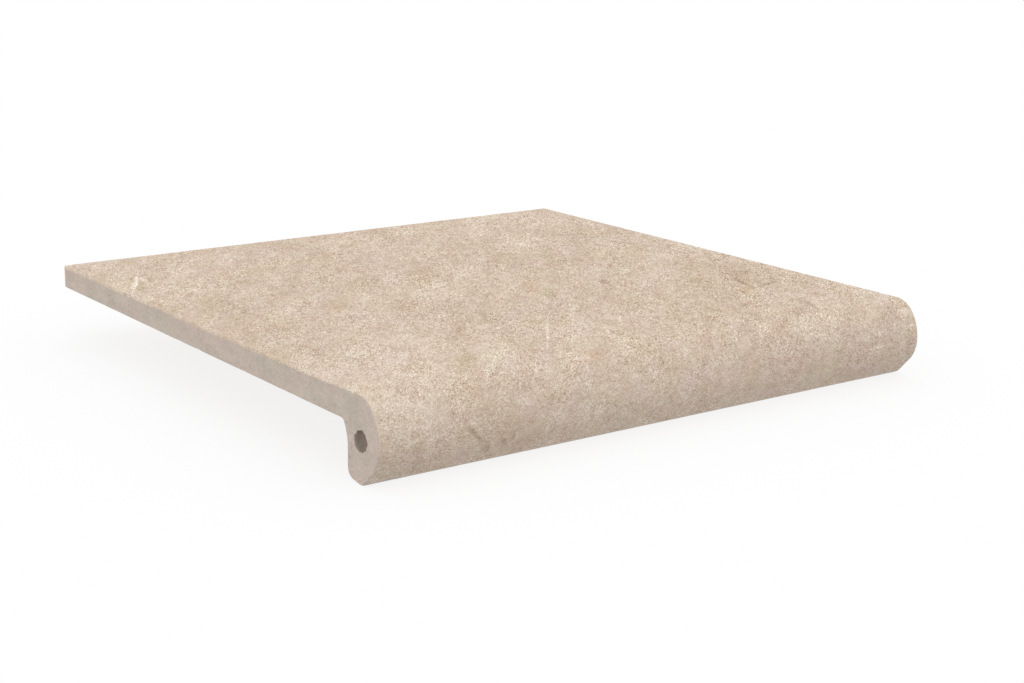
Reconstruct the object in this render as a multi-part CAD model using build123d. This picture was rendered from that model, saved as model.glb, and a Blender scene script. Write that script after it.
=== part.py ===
from build123d import *
from math import asin, atan2, cos, degrees, hypot, radians, sin, sqrt
import os

# Stair tread tile: a slab, thinner to the back, whose front edge swells into a rounded, cored nosing.
# One clay section is extruded along the nosing, cut to width and fired in one piece.
# Millimetres. X runs along the nosing, +Y points to the back of the step, +Z is up.
# The origin lies under the middle of the tile, level with the foot of the nosing.

# Overall sizes
TREAD_WIDTH = 330.0  # along the nosing
TREAD_DEPTH = 317.0  # back edge to the front of the nosing
ROOT_THICKNESS = 14.0  # slab where it joins the nosing
BACK_THICKNESS = 12.2  # slab at the back edge
NOSING_HEIGHT = 40.0  # top face to the foot of the nosing
NOSING_THICKNESS = 25.0  # front of the nosing to its back face

# Front of the nosing, from the top face down
CROWN_RUN = 15.5  # front of the nosing to where the top face starts to roll over
BULGE_DROP = 20.0  # top face to the line that stands furthest forward
CHIN_RADIUS = 16.5  # round below that line
BEVEL_ANGLE = 42.0  # straight bevel under the chin, from the vertical
FOOT_RADIUS = 5.0

# Back of the nosing, from the foot up
HEEL_ANGLE = 10.0  # rise from the foot to the heel, from the horizontal
HEEL_RADIUS = 5.0
SWEEP_DROP = 12.0  # root of the slab to where the back face starts to hollow out
SWEEP_RADIUS = 22.0
CORNER_RADIUS = 2.0  # where the hollow runs into the underside of the slab

# Core hole through the nosing, from one cut end to the other
CORE_DIAMETER = 10.0
CORE_SETBACK = 14.2  # front of the nosing to the axis
CORE_DROP = 20.5  # top face to the axis

# Rubbed arris round the cut ends and along the back edge
ARRIS_RADIUS = 0.6

# Lines of the section, which is drawn in Y and Z
FRONT = -TREAD_DEPTH / 2
BACK = TREAD_DEPTH / 2
TOP = NOSING_HEIGHT
ROOT = TOP - ROOT_THICKNESS
BULGE = TOP - BULGE_DROP
NOSING_BACK = FRONT + NOSING_THICKNESS

# Directions that the straight stretches face, in degrees from +Y towards +Z
FACES_UP = 90.0
FACES_FRONT = 180.0
FACES_DOWN = 270.0
FACES_BACK = 360.0
BEVEL_FACES = FACES_FRONT + BEVEL_ANGLE
HEEL_FACES = FACES_DOWN + HEEL_ANGLE


def on_circle(centre, radius, angle):
    """The point of a circle that faces the given angle."""
    return (centre[0] + radius * cos(radians(angle)), centre[1] + radius * sin(radians(angle)))


def arc(centre, radius, start, end):
    """An arc from one facing angle to another, either way round."""
    return CenterArc(centre, radius, start, end - start)


def nosing_front(start):
    """Edges from the top face round the crown and chin and down the bevel, and the foot's centre."""
    crown_centre = (FRONT + CROWN_RUN, BULGE)
    chin_centre = (FRONT + CHIN_RADIUS, BULGE)
    # The bevel touches chin and foot alike, so across it their centres differ by their radii.
    drop = FOOT_RADIUS - BULGE
    across = CHIN_RADIUS - FOOT_RADIUS
    foot_run = (across - drop * sin(radians(BEVEL_FACES))) / cos(radians(BEVEL_FACES))
    foot_centre = (chin_centre[0] + foot_run, FOOT_RADIUS)
    edges = [
        Line(start, (crown_centre[0], TOP)),
        EllipticalCenterArc(crown_centre, CROWN_RUN, BULGE_DROP, FACES_UP, arc_size=FACES_FRONT - FACES_UP),
        arc(chin_centre, CHIN_RADIUS, FACES_FRONT, BEVEL_FACES),
        Line(
            on_circle(chin_centre, CHIN_RADIUS, BEVEL_FACES),
            on_circle(foot_centre, FOOT_RADIUS, BEVEL_FACES),
        ),
    ]
    return edges, foot_centre


def nosing_rear(foot_centre, end):
    """Edges from the foot along the heel, up the back face and out along the underside of the slab."""
    # The heel touches the foot's round and its own round alike.
    heel_run = NOSING_BACK - HEEL_RADIUS - foot_centre[0]
    across = FOOT_RADIUS - HEEL_RADIUS
    heel_rise = (across - heel_run * cos(radians(HEEL_FACES))) / sin(radians(HEEL_FACES))
    heel_centre = (NOSING_BACK - HEEL_RADIUS, foot_centre[1] + heel_rise)
    # The hollow is tangent to the back face, and the corner lies inside it, under the slab.
    sweep_centre = (NOSING_BACK + SWEEP_RADIUS, ROOT - SWEEP_DROP)
    corner_rise = SWEEP_DROP - CORNER_RADIUS
    corner_run = sqrt((SWEEP_RADIUS - CORNER_RADIUS) ** 2 - corner_rise**2)
    corner_centre = (sweep_centre[0] - corner_run, ROOT - CORNER_RADIUS)
    corner_faces = degrees(atan2(corner_rise, -corner_run))
    # The underside touches the corner's round and climbs from there to the back edge.
    to_end = (end[0] - corner_centre[0], end[1] - corner_centre[1])
    climb = degrees(atan2(to_end[1], to_end[0]) - asin(CORNER_RADIUS / hypot(*to_end)))
    slab_faces = FACES_UP + climb
    return [
        arc(foot_centre, FOOT_RADIUS, BEVEL_FACES, HEEL_FACES),
        Line(
            on_circle(foot_centre, FOOT_RADIUS, HEEL_FACES),
            on_circle(heel_centre, HEEL_RADIUS, HEEL_FACES),
        ),
        arc(heel_centre, HEEL_RADIUS, HEEL_FACES, FACES_BACK),
        Line((NOSING_BACK, heel_centre[1]), (NOSING_BACK, sweep_centre[1])),
        arc(sweep_centre, SWEEP_RADIUS, FACES_FRONT, corner_faces),
        arc(corner_centre, CORNER_RADIUS, corner_faces, slab_faces),
        Line(on_circle(corner_centre, CORNER_RADIUS, slab_faces), end),
    ]


def tread_section():
    """The clay section, with the core hole that the die leaves in the nosing."""
    back_top = (BACK, TOP)
    back_bottom = (BACK, TOP - BACK_THICKNESS)
    front_edges, foot_centre = nosing_front(back_top)
    rear_edges = nosing_rear(foot_centre, back_bottom)
    outline = make_face(front_edges + rear_edges + [Line(back_bottom, back_top)])
    core = Pos(FRONT + CORE_SETBACK, TOP - CORE_DROP) * Circle(CORE_DIAMETER / 2)
    return outline - core


def soften_arrises(tread):
    """Rounds the outline of both cut ends and the two long edges of the back, and leaves the core sharp."""
    ends = tread.faces().filter_by(Axis.X)
    arrises = ends.sort_by(Axis.X)[0].outer_wire().edges() + ends.sort_by(Axis.X)[-1].outer_wire().edges()
    back_face = tread.faces().filter_by(Axis.Y).sort_by(Axis.Y)[-1]
    arrises += back_face.edges().filter_by(Axis.X)
    return fillet(arrises, ARRIS_RADIUS)


tread_tile = soften_arrises(extrude(Plane.YZ * tread_section(), TREAD_WIDTH / 2, both=True))

os.makedirs("parts", exist_ok=True)
export_step(tread_tile, "parts/tread_tile.step")
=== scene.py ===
from math import asin, atan2, cos, hypot, pi, radians, sin, sqrt, tan

import bmesh
import bpy
from mathutils import Matrix, Vector, noise


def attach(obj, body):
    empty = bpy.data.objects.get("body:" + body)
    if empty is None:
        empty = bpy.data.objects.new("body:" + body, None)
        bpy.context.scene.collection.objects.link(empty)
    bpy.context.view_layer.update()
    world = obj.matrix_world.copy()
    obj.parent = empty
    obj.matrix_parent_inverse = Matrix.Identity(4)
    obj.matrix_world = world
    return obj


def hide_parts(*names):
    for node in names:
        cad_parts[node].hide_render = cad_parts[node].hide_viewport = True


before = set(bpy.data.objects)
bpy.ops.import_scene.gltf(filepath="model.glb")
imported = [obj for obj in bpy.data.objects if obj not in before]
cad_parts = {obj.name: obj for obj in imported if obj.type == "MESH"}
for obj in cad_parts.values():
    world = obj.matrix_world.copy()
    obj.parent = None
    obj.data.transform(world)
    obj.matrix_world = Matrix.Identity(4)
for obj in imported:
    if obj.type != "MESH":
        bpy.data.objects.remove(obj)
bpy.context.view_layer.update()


# Tread tile. One piece of beige stoneware: the die gives the slab, the rounded nosing and its core hole
# in one section, a wire cuts it to width, and the walked face and the nosing get a sandstone print
# before it is fired. The ends, the back and the underside stay bare clay.
MM = 0.001
TILE_WIDTH = 330 * MM  # along the nosing
TILE_DEPTH = 317 * MM  # back edge to the front of the nosing
ROOT_SLAB = 14 * MM  # slab where it joins the nosing
BACK_SLAB = 12.2 * MM  # slab at the back edge
HEIGHT = 40 * MM  # top face to the foot of the nosing
NOSING = 25 * MM  # front of the nosing to its back face
CROWN_RUN = 15.5 * MM  # front of the nosing to where the top face starts to roll over
BULGE_DROP = 20 * MM  # top face to the line that stands furthest forward
CHIN_RADIUS = 16.5 * MM  # round below that line
BEVEL_TURN = radians(42)  # straight bevel under the chin, from the vertical
FOOT_RADIUS = 5 * MM
HEEL_TURN = radians(10)  # rise from the foot to the heel, from the horizontal
HEEL_RADIUS = 5 * MM
SWEEP_DROP = 12 * MM  # root of the slab to where the back face starts to hollow out
SWEEP_RADIUS = 22 * MM
CORNER_RADIUS = 2 * MM  # where the hollow runs into the underside of the slab
CORE_RADIUS = 5 * MM
CORE_SETBACK = 14.2 * MM  # front of the nosing to the axis of the hole
CORE_DROP = 20.5 * MM  # top face to the axis of the hole
CORE_SIDES = 72
ARRIS = 0.6 * MM  # rubbed edge of the cut ends and of the back
FINE_PITCH = 1.5 * MM  # spacing of the points
COARSE_PITCH = 5 * MM  # and on the underside of the slab

left = -TILE_WIDTH / 2
front = -TILE_DEPTH / 2
back = TILE_DEPTH / 2
root = HEIGHT - ROOT_SLAB
bulge = HEIGHT - BULGE_DROP
nosing_back = front + NOSING
core_y = front + CORE_SETBACK
core_z = HEIGHT - CORE_DROP


def last_point(drawn):
    """The point that a spin ends on."""
    return next(v for v in drawn["geom_last"] if isinstance(v, bmesh.types.BMVert))


def run_straight(clay, tip, y, z, pitch):
    """Draws the section on from its last point in a straight line to (y, z)."""
    span = Vector((left, y, z)) - tip.co
    steps = max(1, round(span.length / pitch))
    drawn = bmesh.ops.spin(clay, geom=[tip], axis=(1, 0, 0), dvec=span / steps, angle=0, steps=steps)
    return last_point(drawn)


def run_round(clay, tip, y, z, turn, pitch):
    """Draws the section on from its last point in an arc about (y, z)."""
    centre = Vector((left, y, z))
    steps = max(2, round((tip.co - centre).length * abs(turn) / pitch))
    drawn = bmesh.ops.spin(clay, geom=[tip], cent=centre, axis=(1, 0, 0), angle=turn, steps=steps)
    return last_point(drawn)


# The section, from the top of the back edge forward and round the nosing: crown, chin and bevel.
clay = bmesh.new()
start = clay.verts.new((left, back, HEIGHT))
tip = run_straight(clay, start, front + CROWN_RUN, HEIGHT, FINE_PITCH)
flat_top = set(clay.verts)
tip = run_round(clay, tip, front + CROWN_RUN, bulge, pi / 2, FINE_PITCH)
crown = [v for v in clay.verts if v not in flat_top]
to_crown = Matrix.Translation((0, -front - CROWN_RUN, 0))
bmesh.ops.scale(clay, vec=(1, CROWN_RUN / BULGE_DROP, 1), space=to_crown, verts=crown)
tip = run_round(clay, tip, front + CHIN_RADIUS, bulge, BEVEL_TURN, FINE_PITCH)
foot_run = (bulge - FOOT_RADIUS) * tan(BEVEL_TURN) - (CHIN_RADIUS - FOOT_RADIUS) / cos(BEVEL_TURN)
foot_y = front + CHIN_RADIUS + foot_run
bevel_end = (foot_y - FOOT_RADIUS * cos(BEVEL_TURN), FOOT_RADIUS * (1 - sin(BEVEL_TURN)))
tip = run_straight(clay, tip, *bevel_end, FINE_PITCH)

# Then the foot, the heel and up the back face of the nosing.
tip = run_round(clay, tip, foot_y, FOOT_RADIUS, pi / 2 - BEVEL_TURN + HEEL_TURN, FINE_PITCH)
heel_y = nosing_back - HEEL_RADIUS
heel_z = FOOT_RADIUS + ((heel_y - foot_y) * sin(HEEL_TURN) - FOOT_RADIUS + HEEL_RADIUS) / cos(HEEL_TURN)
heel_start = (heel_y + HEEL_RADIUS * sin(HEEL_TURN), heel_z - HEEL_RADIUS * cos(HEEL_TURN))
tip = run_straight(clay, tip, *heel_start, FINE_PITCH)
tip = run_round(clay, tip, heel_y, heel_z, pi / 2 - HEEL_TURN, FINE_PITCH)
sweep_z = root - SWEEP_DROP
tip = run_straight(clay, tip, nosing_back, sweep_z, FINE_PITCH)

# Then the hollow and the corner, the climbing underside of the slab, and up the back edge.
corner_rise = SWEEP_DROP - CORNER_RADIUS
corner_run = sqrt((SWEEP_RADIUS - CORNER_RADIUS) ** 2 - corner_rise**2)
corner_turn = atan2(corner_rise, corner_run)
tip = run_round(clay, tip, nosing_back + SWEEP_RADIUS, sweep_z, -corner_turn, FINE_PITCH)
corner_y = nosing_back + SWEEP_RADIUS - corner_run
corner_z = root - CORNER_RADIUS
back_run = back - corner_y
back_rise = HEIGHT - BACK_SLAB - corner_z
climb = atan2(back_rise, back_run) - asin(CORNER_RADIUS / hypot(back_run, back_rise))
tip = run_round(clay, tip, corner_y, corner_z, corner_turn - pi / 2 + climb, FINE_PITCH)
tip = run_straight(clay, tip, back, HEIGHT - BACK_SLAB, COARSE_PITCH)
run_straight(clay, tip, back, HEIGHT, FINE_PITCH)
bmesh.ops.remove_doubles(clay, verts=clay.verts, dist=0.01 * MM)

# The section is drawn out to the tile's width and closed with a face at each cut end. Its arrises are
# rubbed round the ends and along the two back edges, which are the only other sharp ones.
SHARP = 1.0  # radians
section = list(clay.edges)
drawn = bmesh.ops.spin(clay, geom=section, axis=(1, 0, 0), dvec=(TILE_WIDTH, 0, 0), angle=0, steps=1)
far_section = [e for e in drawn["geom_last"] if isinstance(e, bmesh.types.BMEdge)]
for outline in (section, far_section):
    bmesh.ops.edgeloop_fill(clay, edges=outline)
bmesh.ops.recalc_face_normals(clay, faces=clay.faces)
cut_edges = set(section + far_section)
back_edges = [e for e in clay.edges if e not in cut_edges and e.calc_face_angle(0) > SHARP]
bmesh.ops.bevel(clay, geom=section + far_section + back_edges, offset=ARRIS, offset_type="OFFSET",
                segments=3, profile=0.5, affect="EDGES", material=-1)

# The core hole: a ring at one end, drawn through to the other, with the cut faces filled in round it.
MANY_SIDED = 100  # only the two cut ends have more corners
ends = [f for f in clay.faces if len(f.verts) > MANY_SIDED]
ends.sort(key=lambda f: f.calc_center_median().x)
end_outlines = [list(f.edges) for f in ends]
bmesh.ops.delete(clay, geom=ends, context="FACES_ONLY")
ring_place = Matrix.Translation((left, core_y, core_z)) @ Matrix.Rotation(pi / 2, 4, "Y")
ring = bmesh.ops.create_circle(clay, segments=CORE_SIDES, radius=CORE_RADIUS, matrix=ring_place)
near_ring = list(dict.fromkeys(e for v in ring["verts"] for e in v.link_edges))
drawn = bmesh.ops.spin(clay, geom=near_ring, axis=(1, 0, 0), dvec=(TILE_WIDTH, 0, 0), angle=0, steps=1)
far_ring = [e for e in drawn["geom_last"] if isinstance(e, bmesh.types.BMEdge)]
for outline, rim in zip(end_outlines, (near_ring, far_ring)):
    bmesh.ops.triangle_fill(clay, use_beauty=True, use_dissolve=False, edges=outline + rim)
bmesh.ops.remove_doubles(clay, verts=clay.verts, dist=0.001 * MM)
strands = [e for e in clay.edges if e.calc_length() > TILE_WIDTH - 3 * ARRIS]
bmesh.ops.subdivide_edges(clay, edges=strands, cuts=round(TILE_WIDTH / FINE_PITCH) - 1)
bmesh.ops.recalc_face_normals(clay, faces=clay.faces)

# Relief of the fired clay, in millimetres: the faces are faintly uneven, the underside keeps the die's
# drag lines, the arrises have small nicks and the wire leaves the rim of the hole ragged.
SWELL_SIZE, SWELL_DEPTH = 11, 0.03
SAND_SIZE, SAND_DEPTH = 4, 0.02
NICK_SIZE, NICK_DEPTH, NICK_RARITY = 3.5, 0.4, 0.3
DRAG_LENGTH, DRAG_WIDTH, DRAG_DEPTH = 90, 3.5, 0.05
CHIP_SIZE, CHIP_DEPTH = 2.6, 0.96
CRUMB_SIZE, CRUMB_DEPTH = 0.9, 0.48
RIM_INSET, RIM_REACH = 0.12, 2.2
ON_WALL = CORE_RADIUS + 0.05 * MM
ON_CUT_END = 0.0001 * MM
ON_ARRIS = ARRIS * 1.01
clay.normal_update()
for v in clay.verts:
    spot = v.co / MM
    end_gap = TILE_WIDTH / 2 - abs(v.co.x)
    to_core = Vector((0, v.co.y - core_y, v.co.z - core_z))
    if to_core.length < ON_WALL:
        ragged = CHIP_DEPTH * noise.noise(spot / CHIP_SIZE) - RIM_INSET
        ragged += CRUMB_DEPTH * noise.noise(spot / CRUMB_SIZE)
        near_rim = max(0.0, 1 - end_gap / (RIM_REACH * MM))
        v.co += to_core.normalized() * ragged * near_rim**2 * MM
        continue
    on_underside = v.normal.z < -0.5 and v.co.y > nosing_back
    depth = 0.0
    if end_gap > ON_CUT_END:
        depth += SWELL_DEPTH * (1 + noise.noise(spot / SWELL_SIZE))
        depth += SAND_DEPTH * (1 + noise.noise(spot / SAND_SIZE))
        if end_gap < ON_ARRIS:
            depth += NICK_DEPTH * max(0.0, noise.noise(spot / NICK_SIZE) - NICK_RARITY)
    if on_underside:
        depth += DRAG_DEPTH * (1 + noise.noise(Vector((spot.x / DRAG_LENGTH, spot.y / DRAG_WIDTH, 3))))
    v.co -= v.normal * depth * MM

# All but the flat cut ends are shaded smooth.
for face in clay.faces:
    face.smooth = abs(face.normal.x) < 0.99
mesh = bpy.data.meshes.new("tread_tile_fired")
clay.to_mesh(mesh)
clay.free()
tile = bpy.data.objects.new("tread_tile_fired", mesh)
bpy.context.scene.collection.objects.link(tile)


class Value:
    """A socket in a finish's nodes: arithmetic on it adds the Math nodes."""

    def __init__(self, tree, socket):
        self.tree = tree
        self.socket = socket

    def beside(self, output):
        """Another output of the same node."""
        return Value(self.tree, self.socket.node.outputs[output])

    def maths(self, operation, first, second=0.0):
        """Adds one Math node."""
        node = self.tree.nodes.new("ShaderNodeMath")
        node.operation = operation
        for slot, term in zip(node.inputs, (first, second)):
            feed(self.tree, slot, term)
        return Value(self.tree, node.outputs[0])

    def __add__(self, other):
        return self.maths("ADD", self, other)

    __radd__ = __add__

    def __sub__(self, other):
        return self.maths("SUBTRACT", self, other)

    def __rsub__(self, other):
        return self.maths("SUBTRACT", other, self)

    def __mul__(self, other):
        return self.maths("MULTIPLY", self, other)

    __rmul__ = __mul__

    def __abs__(self):
        return self.maths("ABSOLUTE", self)

    def __or__(self, other):
        return self.maths("MAXIMUM", self, other)

    def __pow__(self, other):
        return self.maths("POWER", self, other)


def feed(tree, slot, term):
    """Links a value to a socket, or sets the socket to a plain number or colour."""
    if isinstance(term, Value):
        tree.links.new(term.socket, slot)
    else:
        slot.default_value = term


class Finish:
    """A material whose nodes are added one by one."""

    def __init__(self, name):
        self.material = bpy.data.materials.new(name)
        self.material.use_nodes = True
        self.tree = self.material.node_tree
        self.tree.nodes.clear()

    def node(self, kind, settings=None, output=0, **sockets):
        """Adds one node: its settings first, then its sockets by identifier, with _ for a space."""
        node = self.tree.nodes.new("ShaderNode" + kind)
        for name, setting in (settings or {}).items():
            setattr(node, name, setting)
        for name, term in sockets.items():
            slot = next(s for s in node.inputs if name in (s.identifier, s.identifier.replace(" ", "_")))
            feed(self.tree, slot, term)
        return Value(self.tree, node.outputs[output]) if node.outputs else None

    def noise(self, place, size, detail=2.0):
        """Soft clouds of about the given size, from 0 to 1."""
        return self.node("TexNoise", Vector=place, Scale=1 / size, Detail=detail)

    def swing(self, place, size, strength, detail=2.0):
        """Soft clouds of about the given size, about 0."""
        return (self.noise(place, size, detail) - 0.5) * strength

    def cells(self, place, size):
        """Small grains of the given size, each with a chance value from 0 to 1."""
        chance = self.node("TexVoronoi", output=1, Vector=place, Scale=1 / size)
        return self.node("SeparateColor", Color=chance)

    def grains(self, place, size):
        """Small grains of the given size, about 0, with a few much paler or darker than the rest."""
        chance = self.cells(place, size) - 0.5
        return chance * (chance * chance * 2.8 + 0.56)

    def step(self, value, low, high):
        """0 below low, 1 above high and a smooth rise between."""
        return self.node("MapRange", {"interpolation_type": "SMOOTHSTEP"},
                         Value=value, From_Min=low, From_Max=high)

    def blend(self, amount, under, over, how="MIX"):
        """One colour over another."""
        return self.node("Mix", {"data_type": "RGBA", "blend_type": how}, 2,
                         Factor_Float=amount, A_Color=under, B_Color=over)

    def tinge(self, colour, amount, one, other):
        """A colour multiplied by something between two tinges."""
        return self.blend(1.0, colour, self.blend(amount, one, other), "MULTIPLY")

    def shade(self, colour, amount):
        """A colour made lighter or darker by a factor."""
        return self.node("VectorMath", {"operation": "SCALE"}, Vector=colour, Scale=amount)

    def placed(self, place, **sockets):
        """The place seen in a pattern's own frame, which is moved, turned and drawn out."""
        return self.node("Mapping", {"vector_type": "TEXTURE"}, Vector=place, **sockets)


stoneware = Finish("fired_stoneware")
place = stoneware.node("TexCoord", output=3)
across = stoneware.node("SeparateXYZ", Vector=place)
along = across.beside(1)
height = across.beside(2)
below_top = HEIGHT - height
end_gap = TILE_WIDTH / 2 - abs(across)
CORE_WALL = (CORE_RADIUS + 0.9 * MM, CORE_RADIUS + 1.1 * MM)  # outside the raggedest rim
off_y = along - core_y
off_z = height - core_z
core_reach = (off_y * off_y + off_z * off_z) ** 0.5
near_core = 1 - stoneware.step(core_reach, *CORE_WALL)

# Where the print lies: over the top face, a little down its ends and back, and round the nosing to the
# foot, short of the nosing's cut ends. It stops in a wavering line.
WAVER_SIZE, WAVER = 5 * MM, 0.8 * MM
HANG_SIZE, HANG = 60 * MM, 1.6 * MM  # how far it runs down from the top
SLAB_HANG = 1.0 * MM  # and how much further behind the nosing
SLAB_START = (front + 14 * MM, front + 60 * MM)
NOSE_FRONT = (front + 12.4 * MM, front + 12.9 * MM)  # on the nosing it stays in front of this
FOOT_LINE = (1.2 * MM, 1.9 * MM)  # and ends at this height, just above the foot
BARE_RIM, RIM_NARROWER = 1.0 * MM, 0.85 * MM  # bare clay by the nosing's ends, and how much less higher up
RIM_NARROWS = (14 * MM, 28 * MM)
RIM_WAVER = 0.3
HEM, RIM_HEM = 0.25 * MM, 0.08 * MM  # half the width of its soft edges
uneven = stoneware.swing(place, WAVER_SIZE, WAVER)
hang = stoneware.noise(place, HANG_SIZE) * HANG
hang = hang + stoneware.step(along, *SLAB_START) * SLAB_HANG
on_top = 1 - stoneware.step(below_top + uneven - hang, -HEM, HEM)
on_nose = 1 - stoneware.step(along, *NOSE_FRONT)
on_nose = on_nose * stoneware.step(height + uneven, *FOOT_LINE) * (1 - near_core)
bare_rim = BARE_RIM - stoneware.step(height, *RIM_NARROWS) * RIM_NARROWER
off_rim = stoneware.step(end_gap + uneven * RIM_WAVER - bare_rim, -RIM_HEM, RIM_HEM)
printed = on_top | (on_nose * off_rim)

# The print: clouds of brown and cream sand drawn out along the stone's bedding, greyer low on the nosing,
# with tinges of rose, olive, ochre and grey.
BROWN_SAND = (0.517, 0.373, 0.260, 1)
CREAM_SAND = (0.811, 0.692, 0.572, 1)
GREY_SAND = (0.650, 0.530, 0.440, 1)
ROSE_TINGE = (1.015, 0.92, 1.0, 1)
OLIVE_TINGE = (0.985, 1.08, 1.0, 1)
OCHRE_TINGE = (1.0, 1.0, 0.90, 1)
GREY_TINGE = (1.0, 1.0, 1.10, 1)
BEDDING = radians(-37)  # turn of the bedding on the top face
BED_DRAW, GRIT_DRAW = 3.2, 2.2  # how far clouds and grains are drawn out along it
CLOUDS = ((13 * MM, 0.60), (30 * MM, 0.55), (75 * MM, 0.30))  # size and strength
LOW_NOSE, LOW_GREYER = (14 * MM, 40 * MM), 0.5
TINGE_SIZE = 11 * MM
bedded = stoneware.placed(place, Rotation=(0, 0, BEDDING), Scale=(1, BED_DRAW, 1))
gritty = stoneware.placed(place, Rotation=(0, 0, BEDDING), Scale=(1, GRIT_DRAW, 1))
clouds = sum((stoneware.swing(bedded, size, strength) for size, strength in CLOUDS), start=0.5)
print_colour = stoneware.blend(clouds, BROWN_SAND, CREAM_SAND)
low_on_nose = 1 - stoneware.step(height, *LOW_NOSE)
print_colour = stoneware.blend(low_on_nose * LOW_GREYER, print_colour, GREY_SAND)
tinges = stoneware.node("TexNoise", output=1, Vector=bedded, Scale=1 / TINGE_SIZE, Detail=4, Roughness=0.6)
red = stoneware.node("SeparateColor", Color=tinges)
print_colour = stoneware.tinge(print_colour, red.beside(1), ROSE_TINGE, OLIVE_TINGE)
print_colour = stoneware.tinge(print_colour, red.beside(2), OCHRE_TINGE, GREY_TINGE)

# Patches and streaks in the print: the two ends of each on the tile and its half width, in millimetres,
# its colour and how strongly that covers. The broad ones come first.
BROWN = (0.540, 0.400, 0.280, 1)
RUST = (0.620, 0.450, 0.310, 1)
OLIVE = (0.560, 0.452, 0.305, 1)
UMBER = (0.430, 0.312, 0.218, 1)
CREAM = (0.790, 0.670, 0.550, 1)
PALE = (0.900, 0.775, 0.650, 1)
PATCHES = (
    ((70, -120, 40), (160, 0, 40), 30, BROWN, 0.42),
    ((118, -88, 40), (162, -40, 40), 16, BROWN, 0.30),
    ((-148, -140, 40), (-76, -44, 40), 26, CREAM, 0.26),
    ((-148, -164, 40), (-112, -116, 40), 22, CREAM, 0.25),
    ((-166, -155, 33), (-134, -157, 29), 13, CREAM, 0.50),
    ((78, -150, 38), (112, -154, 34), 11, CREAM, 0.55),
    ((-166, -100, 40), (-146, -68, 40), 8, CREAM, 0.35),
    ((122, 98, 40), (156, 140, 40), 14, CREAM, 0.30),
    ((-40, -46, 40), (-14, -10, 40), 8, CREAM, 0.25),
    ((-32, -155, 33), (-10, -156, 30), 7, CREAM, 0.25),
    ((-8, 0, 40), (22, 42, 40), 11, CREAM, 0.30),
    ((-94, -50, 40), (-70, -16, 40), 9, CREAM, 0.25),
    ((-128, 20, 40), (-104, 62, 40), 10, CREAM, 0.25),
    ((-155, 62, 40), (-130, 112, 40), 14, BROWN, 0.20),
    ((-48, -144, 40), (-25, -116, 40), 9, BROWN, 0.20),
    ((-14, -158, 24), (4, -158, 20), 8, BROWN, 0.22),
    ((-112, -158, 24), (-90, -158, 21), 8, BROWN, 0.22),
    ((-111, -155, 10), (-71, -155, 10), 12, BROWN, 0.30),
    ((-73, -36, 40), (-49, -4, 40), 7, BROWN, 0.38),
    ((127, -66, 40), (154, -26, 40), 8, BROWN, 0.40),
    ((134, 4, 40), (158, 36, 40), 8, BROWN, 0.32),
    ((-128, -134, 40), (-106, -102, 40), 6, BROWN, 0.28),
    ((-144, -157, 28), (-127, -158, 22), 6, CREAM, 0.35),
    ((8, -34, 40), (30, -3, 40), 7, RUST, 0.48),
    ((-103, -21, 40), (-81, 9, 40), 4, RUST, 0.35),
    ((101, -100, 40), (117, -78, 40), 4.5, RUST, 0.65),
    ((-45, -152, 40), (-37, -140, 40), 4, RUST, 0.55),
    ((11, -46, 40), (27, -24, 40), 4, OLIVE, 0.75),
    ((-106, -137, 40), (-88, -113, 40), 5, OLIVE, 0.75),
    ((-160, 74, 40), (-148, 98, 40), 3.5, OLIVE, 0.75),
    ((-136, 137, 40), (-132, 152, 40), 3.5, RUST, 0.40),
    ((-134, 122, 40), (-130, 138, 40), 3, OLIVE, 0.50),
    ((54, -38, 40), (62, -26, 40), 3, UMBER, 0.80),
    ((140, -42, 40), (123, -66, 40), 3, UMBER, 0.38),
    ((125, -60, 40), (115, -86, 40), 1.6, UMBER, 0.75),
    ((115, -87, 40), (139, -81, 40), 2, UMBER, 0.60),
    ((111, -134, 40), (118, -123, 40), 2.5, UMBER, 0.65),
    ((-121, -158, 23), (-112, -157, 14), 1.6, UMBER, 0.72),
    ((-113, -157, 14), (-103, -151, 5), 2.6, UMBER, 0.55),
    ((-101, -157, 14), (-96, -154, 8), 1.2, UMBER, 0.50),
    ((-95, -158, 16), (-94, -156, 10), 1.0, UMBER, 0.55),
    ((14, -158, 26), (18, -157, 12), 2, BROWN, 0.25),
    ((-167, 70, 40), (-139, 121, 40), 1.3, PALE, 0.90),
    ((-147, 89, 40), (-143, 111, 40), 1.5, PALE, 0.50),
    ((-55, -129, 40), (-20, -84, 40), 0.8, PALE, 0.70),
    ((-107, -158, 15), (-101, -150, 5), 1.5, PALE, 0.30),
    ((-93, -158, 16), (-92, -155, 10), 0.8, PALE, 0.45),
    ((19, -158, 19), (20, -157, 12), 0.9, PALE, 0.40),
    ((136, -157, 29), (137, -158, 25), 1.2, PALE, 0.25),
    ((126, -158, 20), (148, -158, 21), 0.9, PALE, 0.60),
    ((155, -158, 27), (164, -157, 29), 1.0, PALE, 0.65),
    ((153, -154, 34), (163, -153, 35), 3, PALE, 0.35),
)
FRAY_SIZE, FRAY = 4 * MM, 1.2
PATCH_FADE = (0.4, 1.3)  # where a patch starts to fade and where it ends, in its own half sizes
frayed = stoneware.swing(bedded, FRAY_SIZE, FRAY, detail=3)
for one_end, other_end, half_width, tint, cover in PATCHES:
    lie = (Vector(other_end) - Vector(one_end)) * MM
    middle = (Vector(other_end) + Vector(one_end)) * MM / 2
    half_sizes = (half_width * MM, lie.length / 2, half_width * MM)
    turn = lie.to_track_quat("Y", "Z").to_euler()
    patch_place = stoneware.placed(place, Location=middle, Rotation=turn, Scale=half_sizes)
    reach = stoneware.node("VectorMath", {"operation": "LENGTH"}, 1, Vector=patch_place)
    inside = 1 - stoneware.step(reach + frayed, *PATCH_FADE)
    print_colour = stoneware.blend(inside * cover, print_colour, tint)

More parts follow.
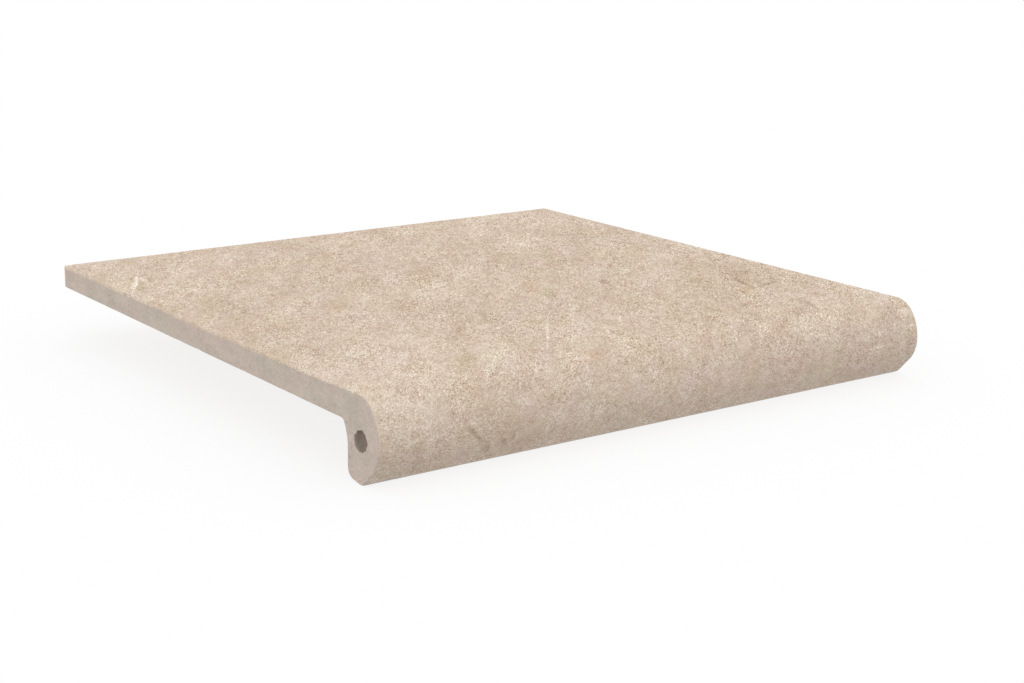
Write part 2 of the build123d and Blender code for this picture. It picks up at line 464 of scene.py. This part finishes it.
# Sand grains over it all: the finest ones, grit and two sizes of speckle. They are stronger in some places
# than in others and a little stronger to the right, and fade on the nosing and by the cut edges. The print
# by the cut edges is painted paler, partly as paler glaze and partly as a painted highlight for rounder
# edges, and the lip at the top of the cut ends gets painted light as well.
PALE_GLAZE_AND_HIGHLIGHT = (0.730, 0.610, 0.500, 1)
DARK_GRAIN = (0.46, 0.30, 0.15, 1)
PALE_GRAIN = (1.54, 1.70, 1.85, 1)
GRAIN_SIZE, GRAIN = 0.38 * MM, 0.70
GRIT_SIZE, GRIT = 0.9 * MM, 0.20
SPECKLES = ((2.4 * MM, 0.32), (5 * MM, 0.40))  # size and strength
GRAIN_SPREAD = 1.4  # from the darkest grain to the palest
STRONG_SIZE, STRONG_FROM, STRONG_LEAST, STRONG_MORE = 12 * MM, (0.30, 0.70), 0.72, 0.6
MIDDLE_STRONG, RIGHT_STRONGER = 1.06, 0.9  # at the middle of the width, and more for each metre
ROUND_START, ROUND_EVENER, ROUND_FAINTER = (front + 4 * MM, front + 20 * MM), 0.65, 0.19
EDGE_REACH, EDGE_GLAZE_AND_HIGHLIGHT, EDGE_SMOOTHER = (0.2 * MM, 1.6 * MM), 0.7, 0.75
EDGE_BELOW, EDGE_TOP_SHARE = (3 * MM, 12 * MM), 0.3  # the top has only a share of the pale edge
LOW_SMOOTHER = 0.1
LIP_REACH, LIP_PAINTED_LIGHT = (0.0, 0.5 * MM), 0.13
at_edge = 1 - stoneware.step(end_gap, *EDGE_REACH)
at_edge = at_edge * (stoneware.step(below_top, *EDGE_BELOW) * (1 - EDGE_TOP_SHARE) + EDGE_TOP_SHARE)
# Partly paler glaze, partly a painted highlight: the print near the cut ends is made paler, as if the
# edges were rounder and caught more light.
print_colour = stoneware.blend(at_edge * EDGE_GLAZE_AND_HIGHLIGHT, print_colour, PALE_GLAZE_AND_HIGHLIGHT)
elsewhere = stoneware.node("Mapping", Vector=bedded, Location=(0.31, 0.17, 0.05))
strong = stoneware.step(stoneware.noise(elsewhere, STRONG_SIZE, detail=3), *STRONG_FROM)
strong = strong * STRONG_MORE + STRONG_LEAST
on_round = 1 - stoneware.step(along, *ROUND_START)
strong = strong * (across * (RIGHT_STRONGER - on_round * ROUND_EVENER) + MIDDLE_STRONG)
strong = strong * (1 - on_round * ROUND_FAINTER)
grain = stoneware.grains(bedded, GRAIN_SIZE) * GRAIN * strong
grain = grain + stoneware.grains(gritty, GRIT_SIZE) * GRIT * strong
grain = sum((stoneware.swing(gritty, size, strength) for size, strength in SPECKLES), start=grain)
grain = grain * (1 - at_edge * EDGE_SMOOTHER) * (1 - low_on_nose * LOW_SMOOTHER)
print_colour = stoneware.tinge(print_colour, grain * (1 / GRAIN_SPREAD) + 0.5, DARK_GRAIN, PALE_GRAIN)
# Painted light: the print at the very ends of the top, over the rubbed arris and down the cut ends, is
# made lighter, as if the edge were rounder and faced the light more.
painted_lip_light = (1 - stoneware.step(end_gap, *LIP_REACH)) * on_top
print_colour = stoneware.shade(print_colour, painted_lip_light * LIP_PAINTED_LIGHT + 1.0)

# The bare clay: smooth and greyer, with faint patches and fine pits, and painted shade on the wall of the
# core hole: dark at its mouth, paler deeper in where the rendered shade is deepest.
CLAY = (0.645, 0.548, 0.466, 1)
ROSE_CLAY = (0.660, 0.545, 0.470, 1)
GREY_CLAY = (0.615, 0.540, 0.455, 1)
CORE_MOUTH_PAINTED_SHADE = (0.36, 0.30, 0.25, 1)
CORE_DEEP_PAINTED_LIGHT = (0.74, 0.65, 0.57, 1)
CLAY_DRAW = 2  # how far its patches are drawn out level with the slab
CLAY_PATCHES = ((5 * MM, 0.30, 3), (1.4 * MM, 0.30, 2))  # size, strength and detail
CLAY_GRAIN_SIZE, CLAY_GRAIN = 0.4 * MM, 0.14
CLAY_TONE = 0.965
PIT_SIZE, PIT_RARITY, PIT_DARKER = 0.9 * MM, (0.965, 0.985), 0.3
PITTED_SIZE, PITTED_FROM = 12 * MM, (0.52, 0.62)
ROSE_SIZE, ROSE_TO = 12 * MM, (0.40, 0.66)
GREY_SIZE, GREY_FROM = 9 * MM, (0.46, 0.66)
CORE_SHADE_DEPTH = 6 * MM  # how far in the painted shade at the mouth of the hole turns to the paler colour deeper in
clay_place = stoneware.placed(place, Scale=(CLAY_DRAW, CLAY_DRAW, 1))
clay_tone = sum((stoneware.swing(clay_place, *patch) for patch in CLAY_PATCHES), start=CLAY_TONE)
clay_tone = clay_tone + (stoneware.cells(clay_place, CLAY_GRAIN_SIZE) - 0.5) * CLAY_GRAIN
pits = stoneware.step(stoneware.cells(place, PIT_SIZE), *PIT_RARITY)
pits = pits * stoneware.step(stoneware.noise(place, PITTED_SIZE), *PITTED_FROM)
clay_tone = clay_tone - pits * PIT_DARKER
less_rose = stoneware.step(stoneware.noise(clay_place, ROSE_SIZE), *ROSE_TO)
clay_tint = stoneware.blend(less_rose, ROSE_CLAY, CLAY)
shifted = stoneware.node("Mapping", Vector=clay_place, Location=(0.07, 0.43, 0.11))
greyer = stoneware.step(stoneware.noise(shifted, GREY_SIZE), *GREY_FROM)
clay_tint = stoneware.blend(greyer, clay_tint, GREY_CLAY)
clay_colour = stoneware.shade(clay_tint, clay_tone)
# Painted shade: the wall of the core hole is dark at the mouth and turns paler deeper in, against the
# deeper rendered shade there.
core_painted_shade = stoneware.blend(stoneware.step(end_gap, 0.0, CORE_SHADE_DEPTH), CORE_MOUTH_PAINTED_SHADE, CORE_DEEP_PAINTED_LIGHT)
core_shade_mask = near_core * stoneware.step(end_gap, 0.0, 0.1 * MM)
clay_colour = stoneware.blend(core_shade_mask, clay_colour, core_painted_shade)

# The fired surface: matt, a little rougher where it is printed, and sandy to the touch.
ROUGHNESS, PRINT_ROUGHER, PALE_GRAIN_SMOOTHER = 0.74, 0.06, 0.2
TOUCH_SIZE, TOUCH = 1.3 * MM, 0.6
colour = stoneware.blend(printed, clay_colour, print_colour)
roughness = printed * PRINT_ROUGHER + ROUGHNESS - grain * PALE_GRAIN_SMOOTHER
sandy = stoneware.noise(place, TOUCH_SIZE) * TOUCH + grain
relief = stoneware.node("Bump", Strength=0.3, Distance=0.05 * MM, Height=sandy)
surface = stoneware.node("BsdfPrincipled", Base_Color=colour, Roughness=roughness, Normal=relief,
                         Specular_IOR_Level=0.3)
stoneware.node("OutputMaterial", Surface=surface)
mesh.materials.append(stoneware.material)

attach(tile, "root")
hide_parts("tread_tile")


# Floor: a wide white sheet under the foot of the nosing. It is white to look at, with the tile's soft
# shadow on it, and lights the tile from below like a pale grey table. From below it is clear.
SHEET_REACH = 15  # metres from its middle to each side
WHITE = (1, 1, 1, 1)
TABLE_GREY = (0.58, 0.58, 0.58, 1)
SHADOW_FADE = 0.8  # share of plain white over the shaded sheet
sheet = bmesh.new()
bmesh.ops.create_grid(sheet, x_segments=1, y_segments=1, size=SHEET_REACH)
floor_mesh = bpy.data.meshes.new("floor")
sheet.to_mesh(floor_mesh)
sheet.free()
floor = bpy.data.objects.new("floor", floor_mesh)
bpy.context.scene.collection.objects.link(floor)
paper = Finish("floor_paper")
by_camera = paper.node("LightPath")
by_glossy = by_camera.beside("Is Glossy Ray")
by_transmission = by_camera.beside("Is Transmission Ray")
shaded = paper.node("BsdfDiffuse", Color=WHITE)
plain = paper.node("Emission", Color=WHITE, Strength=1.0)
seen = paper.node("MixShader", Fac=SHADOW_FADE, Shader=shaded, Shader_001=plain)
table = paper.node("Emission", Color=TABLE_GREY, Strength=1.0)
looked_at = by_camera | by_glossy | by_transmission
upper = paper.node("MixShader", Fac=looked_at, Shader=table, Shader_001=seen)
from_below = paper.node("NewGeometry", output=6)
clear = paper.node("BsdfTransparent")
whole = paper.node("MixShader", Fac=from_below, Shader=upper, Shader_001=clear)
paper.node("OutputMaterial", Surface=whole)
floor_mesh.materials.append(paper.material)


# Light: an even white studio, as bright from every side.
world = bpy.data.worlds.new("studio")
world.use_nodes = True
bpy.context.scene.world = world
sky = world.node_tree.nodes["Background"]
sky.inputs["Color"].default_value = WHITE
sky.inputs["Strength"].default_value = 1.0


# Camera: at the photograph's viewing angle, a little above the tile and to the left of its nosing.
lens = bpy.data.cameras.new("camera")
lens.lens = 64.163
lens.clip_end = 50
camera = bpy.data.objects.new("camera", lens)
camera.location = (-0.55218, -0.76434, 0.25196)
camera.rotation_euler = [radians(a) for a in (75.52, -0.922, -36.655)]
bpy.context.scene.collection.objects.link(camera)
bpy.context.scene.camera = camera

bpy.context.scene.view_settings.view_transform = "Standard"
